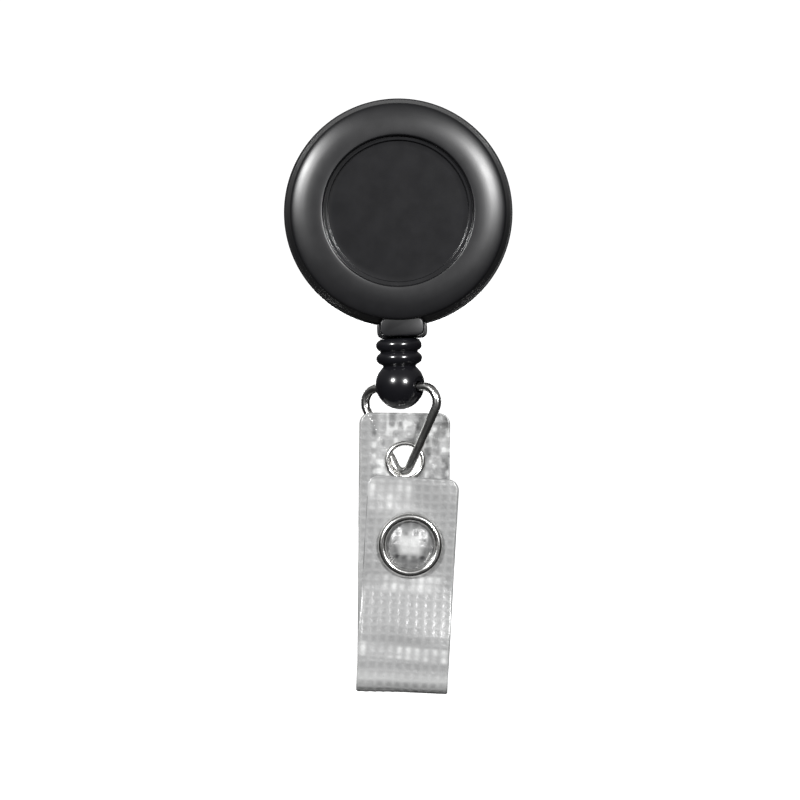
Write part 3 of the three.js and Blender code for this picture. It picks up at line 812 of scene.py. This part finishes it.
def strap_strip():
    """The strip's two faces, each point's tone and share of the fold's turn, and the rows' distances."""
    rows, columns = 400, 73
    corner = STRAP_CORNER_R
    inset = np.array([corner * (1 - math.sin(k * math.pi / 12)) for k in range(1, 6)])
    even = np.linspace(0, STRAP_LENGTH, rows)
    lengths = np.unique(np.concatenate([even, inset, STRAP_LENGTH - inset]))
    half_t = STRAP_T / 2 - 0.05
    thread_rise = 0.045
    outer, inner, tones, angles = [], [], [], []
    for s in lengths:
        y, height, tilt, normal_y, normal_h = strap_middle(s)
        end = min(s, STRAP_LENGTH - s)
        half = STRAP_W / 2
        if end < corner:
            half -= corner - math.sqrt(max(corner**2 - (corner - end) ** 2, 0))
        across = np.linspace(-half, half, columns)
        x = fold_pivot[0] + height * math.sin(tilt) + across * math.cos(tilt)
        z = fold_pivot[2] + height * math.cos(tilt) - across * math.sin(tilt)
        cover = thread_at(s, across)
        edge = np.minimum(half - np.abs(across), end)
        calm = smoothstep(edge, 0.0, 0.35)
        ripple = 0.08 * np.sin(0.21 * s + 0.5) * np.sin(0.33 * across + 0.08 * s)
        ripple = ripple + 0.04 * np.sin(0.9 * s + 0.4 * across)
        near = np.hypot(x - SNAP[0], z - SNAP[2])
        from_snap = abs(height - SNAP_HEIGHT)
        dome = DOME_RISE * (1 - np.clip(near / DOME_R, 0, 1) ** 2) ** 0.8 * (from_snap < 5)
        flat = smoothstep(near, 4.2, 6.5) if from_snap < 8 else 1.0
        if normal_y > 0:
            flat = flat * smoothstep(np.hypot(x - EYELET[0], z - EYELET[2]), 3.0, 5.0)
        thick = half_t + thread_rise * cover * calm
        thick = thick * (0.55 + 0.45 * smoothstep(edge, 0.0, 0.12))
        lift = ripple * flat * calm + dome
        for rows_of, offset in ((outer, thick + lift), (inner, lift - thick)):
            rows_of.append(np.stack([x, fold_pivot[1] + y + offset * normal_y, z + offset * normal_h], 1))
        below = z[columns // 2] - SNAP[2]
        tones.append(tone_at(s, across, height, cover, x - SNAP[0], below, edge))
        angles.append(np.full(columns, np.clip((s - BACK_LEG) / (FOLD_END - BACK_LEG), 0, 1)))
    return *map(np.array, (outer, inner, tones, angles)), lengths


def strap():
    outer, inner, tones, angles, lengths = strap_strip()
    rows, columns = tones.shape
    centre = (outer + inner) / 2
    cell = (centre[:-1, :-1] + centre[1:, 1:]) / 2
    on_back = lengths[:-1, None] < BACK_LEG
    kept = ~(on_back & (np.hypot(cell[..., 0] - EYELET[0], cell[..., 2] - EYELET[2]) < EYELET_HOLE_R))
    count = rows * columns

    def vertex(j, i, face):
        return j * columns + i + face * count

    faces = []
    for j in range(rows - 1):
        for i in range(columns - 1):
            if not kept[j, i]:
                continue
            loop = [(j, i), (j, i + 1), (j + 1, i + 1), (j + 1, i)]
            faces.append([vertex(*p, 0) for p in loop])
            faces.append([vertex(*p, 1) for p in reversed(loop)])
            beside = [(j - 1, i), (j, i + 1), (j + 1, i), (j, i - 1)]
            for k, (nj, ni) in enumerate(beside):
                gone = not (0 <= nj < rows - 1 and 0 <= ni < columns - 1) or not kept[nj, ni]
                if gone:
                    a, b = loop[k], loop[(k + 1) % 4]
                    faces.append([vertex(*a, 0), vertex(*a, 1), vertex(*b, 1), vertex(*b, 0)])
    points = np.concatenate([outer.reshape(-1, 3), inner.reshape(-1, 3)])
    mesh = bpy.data.meshes.new("strap")
    mesh.from_pydata([tuple(p) for p in points * MM], [], faces)
    for label, values in (("tone", tones), ("turned", angles)):
        layer = mesh.attributes.new(label, "FLOAT", "POINT")
        layer.data.foreach_set("value", np.tile(values.reshape(-1), 2).astype(np.float32))
    obj = bpy.data.objects.new("strap", mesh)
    bpy.context.scene.collection.objects.link(obj)
    work = bmesh.new()
    work.from_mesh(mesh)
    bmesh.ops.delete(work, geom=[v for v in work.verts if not v.link_faces], context="VERTS")
    bmesh.ops.recalc_face_normals(work, faces=work.faces)
    work.to_mesh(mesh)
    work.free()
    mesh.shade_smooth()
    mesh.set_sharp_from_angle(angle=math.radians(60))
    dress(obj, None, vinyl, "clear_vinyl", "strap_back_leg", "strap_fold", "strap_front_leg")
    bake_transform(obj)
    weights = np.zeros(len(mesh.vertices), np.float32)
    obj.data.attributes["turned"].data.foreach_get("value", weights)
    obj.visible_shadow = False
    return obj


# ---------------------------------------------------------------------------
# Eyelet and snap


def eyelet_pieces():
    face = STRAP_T / 2 + 0.04
    barrel = 2.43
    front = spline([(2.15, -face + 0.1), (2.2, -face - 0.16), (2.42, -face - 0.31), (2.68, -face - 0.25),
                    (2.86, -face - 0.06), (2.87, -face)], 5)
    back = spline([(2.7, face + 0.17), (2.72, face + 0.3), (2.5, face + 0.4), (2.22, face + 0.28),
                   (2.15, face)], 5)
    outline = [*front, (barrel, -face), (barrel, face + 0.17), *back]
    body = lathe("eyelet", outline, EYELET, segments=96, sharp=50)
    dress(body, "strap", nickel, "nickel", "strap_eyelet")
    hole_r, rim_r, top = 2.5, 2.89, face + 0.13
    outline = rounded([(hole_r, face), (rim_r, face), (rim_r, top), (hole_r, top)], 0.05)
    washer = lathe("eyelet_ring", outline, EYELET, segments=96)
    dress(washer, "strap", nickel, "nickel", "eyelet_washer")


def ring_outline(side):
    """Half-round bead with a thin turned-down skirt outside."""
    bead = [(3.9 + 0.6 * math.cos(a), side * (0.2 + 0.68 * math.sin(a))) for a in np.linspace(math.pi, 0, 24)]
    return [(3.28, 0), (3.28, side * 0.12), *bead, (4.55, side * 0.16), (4.55, 0)]


def at_snap(node, side):
    """The snap's axis where the node meets the strap: side is 1 for its back face and 0 for its front."""
    return SNAP[0], box_mm(node)[side][1], SNAP[2]


def snap_pieces():
    for name, node, body, side in (("snap_ring_front", "snap_cap_ring", "flap", 1),
                                   ("snap_ring_back", "snap_back_ring", "strap", 0)):
        outline = ring_outline(1 - 2 * side)
        ring = lathe(name, outline, at_snap(node, side), segments=128, sharp=50)
        dress(ring, body, nickel, "nickel", node)
    cup = rounded([(2.15, 0), (4.3, 0), (4.3, 0.3), (3.3, 0.8), (2.15, 0.8)], 0.1)
    socket = lathe("snap_socket_cup", cup, at_snap("snap_socket", 0), segments=96)
    dress(socket, "flap", nickel, "nickel", "snap_socket")
    post = rounded([(0, 0), (4.0, 0), (4.0, -0.3), (1.6, -0.38), (1.6, -0.75), (1.82, -1.05), (1.4, -1.45),
                    (0, -1.5)], 0.12, closed=False)
    stud = lathe("snap_post", post, at_snap("snap_stud", 1), segments=96)
    dress(stud, "strap", nickel, "nickel", "snap_stud")


# ---------------------------------------------------------------------------
# Belt clip


def clip_strip():
    base_low, base_high = box_mm("belt_clip_base")
    half_w = (base_high[0] - base_low[0]) / 2
    base_y = base_low[1] + CLIP_T / 2
    bend_y = base_y + CLIP_BEND_R
    tongue_y = bend_y + CLIP_BEND_R
    straight_end = -3
    path = [(base_y, z) for z in np.linspace(base_low[2], CLIP_BEND_Z, 24)[:-1]]
    path += [(bend_y - CLIP_BEND_R * math.cos(a), CLIP_BEND_Z + CLIP_BEND_R * math.sin(a))
             for a in np.linspace(0, math.pi, 28)]
    tongue_row = len(path)
    path += [(tongue_y, z) for z in np.linspace(CLIP_BEND_Z, straight_end, 20)[1:]]
    path += spline([(tongue_y, straight_end),
                    (tongue_y - 0.35, -5.5), (tongue_y - 1.2, -8), (tongue_y - 1.75, -9.8),
                    (tongue_y - 1.6, -10.8), (tongue_y - 0.7, -12.2)], 6)[1:]
    path = np.array(path)
    run = np.gradient(path, axis=0)
    run /= np.linalg.norm(run, axis=1)[:, None]
    normal = np.stack([-run[:, 1], run[:, 0]], 1)
    distance = np.concatenate([[0], np.cumsum(np.linalg.norm(np.diff(path, axis=0), axis=1))])
    total = distance[-1]
    tongue_start = distance[tongue_row]
    columns, corner = 17, CLIP_CORNER_R
    points, weights = [], []
    for face in (1, -1):
        for (y, z), (ny, nz), d in zip(path, normal, distance):
            end = min(d, total - d)
            half = half_w
            if end < corner:
                half -= corner - math.sqrt(max(corner**2 - (corner - end) ** 2, 0))
            across = np.linspace(-half, half, columns)
            on_tongue = smoothstep(d, tongue_start + 2, tongue_start + 5)
            rib = 0.22 * smoothstep(0.9 - np.abs(across), -0.5, 0.5) * on_tongue * smoothstep(total - d, 5, 8)
            for x, lift in zip(across, rib):
                offset = face * CLIP_T / 2 - lift
                points.append((x, y + ny * offset, z + nz * offset))
            weights += [float(smoothstep(d, tongue_start - 0.5, tongue_start + 4))] * columns
    rows = len(path)
    count = rows * columns
    faces = []
    for j in range(rows - 1):
        for i in range(columns - 1):
            a = j * columns + i
            quad = (a, a + 1, a + 1 + columns, a + columns)
            faces += [quad, tuple(v + count for v in reversed(quad))]
        for i in (0, columns - 1):
            a = j * columns + i
            faces.append((a, a + columns, a + columns + count, a + count))
    for j in (0, rows - 1):
        for i in range(columns - 1):
            a = j * columns + i
            faces.append((a, a + 1, a + 1 + count, a + count))
    mesh = bpy.data.meshes.new("belt_clip")
    mesh.from_pydata([tuple(p) for p in np.array(points) * MM], [], faces)
    layer = mesh.attributes.new("flex", "FLOAT", "POINT")
    layer.data.foreach_set("value", np.array(weights, np.float32))
    obj = bpy.data.objects.new("belt_clip", mesh)
    bpy.context.scene.collection.objects.link(obj)
    finish_mesh(obj)
    bevel(obj, 0.14, 3, 50)
    dress(obj, None, clip_steel, "clip_steel", "belt_clip_base", "belt_clip_tongue")
    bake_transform(obj)
    values = np.zeros(len(obj.data.vertices), np.float32)
    obj.data.attributes["flex"].data.foreach_get("value", values)
    return obj


def rivet():
    shaft_r, head_y, end_y = 0.95, -1.3, 1.0
    side = rounded([(0.9, -1.88), (1.25, -1.75), (1.3, head_y), (shaft_r, head_y), (shaft_r, end_y),
                    (1.9, end_y), (1.75, 1.35), (1.2, 1.5)], 0.12, closed=False)
    body = lathe("rivet", [(0, -1.9), *side, (0.6, 1.42), (0, 1.4)], segments=64)
    return dress(body, "case", clip_steel, "clip_steel", "clip_rivet")


# ---------------------------------------------------------------------------
# Stage: camera, floor and light


def camera():
    aim = Vector((-0.62, CORD_Y, -26.2)) * MM
    distance, view_width, roll = 0.35, 0.112, math.radians(1.9)
    data = bpy.data.cameras.new("camera")
    data.sensor_width = 36
    data.lens = data.sensor_width * distance / view_width
    data.clip_start, data.clip_end = 0.01, 100
    obj = bpy.data.objects.new("camera", data)
    bpy.context.scene.collection.objects.link(obj)
    up = Vector((math.sin(roll), 0, math.cos(roll)))
    forward = Vector((0, 1, 0))
    right = forward.cross(up)
    turn = Matrix((right, up, -forward)).transposed().to_4x4()
    obj.matrix_world = Matrix.Translation(aim - forward * distance) @ turn
    bpy.context.scene.camera = obj


def floor():
    size, depth = 20, -1.05
    mesh = bpy.data.meshes.new("floor")
    corners = [(-size, -size, depth), (size, -size, depth), (size, size, depth), (-size, size, depth)]
    mesh.from_pydata(corners, [], [(0, 1, 2, 3)])
    obj = bpy.data.objects.new("floor", mesh)
    bpy.context.scene.collection.objects.link(obj)
    paint = Paint("floor", (0.93, 0.93, 0.93), 0.9)
    paint.shader.inputs["Emission Color"].default_value = (1, 1, 1, 1)
    paint.shader.inputs["Emission Strength"].default_value = 1.2
    mesh.materials.append(paint.material)
    obj.visible_glossy = False
    obj.visible_diffuse = False


def area_light(name, place, target, size, power):
    data = bpy.data.lights.new(name, "AREA")
    data.shape = "RECTANGLE"
    data.size, data.size_y = size
    data.energy = power
    obj = bpy.data.objects.new(name, data)
    bpy.context.scene.collection.objects.link(obj)
    obj.location = place
    obj.rotation_euler = (Vector(target) - Vector(place)).to_track_quat("-Z", "Y").to_euler()


# How bright the studio is from straight in front of the reel, -1, to straight behind it, 1
STUDIO_RING = ((-0.99, 0.28), (-0.955, 0.75), (-0.88, 0.6), (-0.7, 0.17), (0.7, 0.17), (0.97, 0.8))


def world():
    """White behind the reel. What lights it is a soft studio, darker below and straight in front."""
    scene_world = bpy.data.worlds.new("studio")
    bpy.context.scene.world = scene_world
    scene_world.use_nodes = True
    nodes, links = scene_world.node_tree.nodes, scene_world.node_tree.links
    nodes.clear()
    output = nodes.new("ShaderNodeOutputWorld")
    white = nodes.new("ShaderNodeBackground")
    white.inputs["Color"].default_value = (1, 1, 1, 1)
    white.inputs["Strength"].default_value = 1.1
    studio = nodes.new("ShaderNodeBackground")
    studio.inputs["Color"].default_value = (1, 1, 1, 1)
    direction = nodes.new("ShaderNodeTexCoord")
    split = nodes.new("ShaderNodeSeparateXYZ")
    links.new(direction.outputs["Generated"], split.inputs[0])
    height = nodes.new("ShaderNodeMapRange")
    height.interpolation_type = "SMOOTHSTEP"
    depth = nodes.new("ShaderNodeMapRange")
    for node, axis, values in ((height, "Z", (-0.1, 0.6, 0.1, 1.0)), (depth, "Y", (-1, 1, 0, 1))):
        for socket, value in zip(("From Min", "From Max", "To Min", "To Max"), values):
            node.inputs[socket].default_value = value
        links.new(split.outputs[axis], node.inputs["Value"])
    ring = nodes.new("ShaderNodeValToRGB")
    stops = ring.color_ramp.elements
    for place, value in STUDIO_RING:
        stop = stops.new((place + 1) / 2)
        stop.color = (value, value, value, 1)
    stops.remove(stops[0])
    stops.remove(stops[-1])
    links.new(depth.outputs["Result"], ring.inputs["Fac"])
    strength = nodes.new("ShaderNodeMath")
    strength.operation = "MULTIPLY"
    links.new(height.outputs["Result"], strength.inputs[0])
    links.new(ring.outputs["Color"], strength.inputs[1])
    path = nodes.new("ShaderNodeLightPath")
    mix = nodes.new("ShaderNodeMixShader")
    links.new(strength.outputs[0], studio.inputs["Strength"])
    links.new(path.outputs["Is Camera Ray"], mix.inputs[0])
    links.new(studio.outputs[0], mix.inputs[1])
    links.new(white.outputs[0], mix.inputs[2])
    links.new(mix.outputs[0], output.inputs["Surface"])


def lights():
    centre = (0, 0, -0.025)
    area_light("key_left", (-0.53, -0.78, 0.33), centre, (0.12, 0.12), 15)
    area_light("key_right", (0.41, -0.88, 0.23), centre, (0.12, 0.12), 15)
    area_light("fill_back", (0, 1.2, 0), centre, (0.7, 0.7), 10)


# ---------------------------------------------------------------------------
# Build

camera()
world()
lights()
floor()
bpy.context.scene.view_settings.view_transform = "Standard"
bpy.context.scene.view_settings.look = "None"

back_casing()
front_casing()
spool_wheel()
spring_lid()
coil_spring()
cord_coil()
small_knot("anchor_knot", middle_mm("cord_anchor_knot"), 0.48, "reel_spool", "cord_anchor_knot")
small_knot("end_knot", middle_mm("cord_knot"), 0.72, "cord_end", "cord_knot")
cord_line()
bumper()
ball()
wire()
strap()
eyelet_pieces()
snap_pieces()
clip_strip()
rivet()
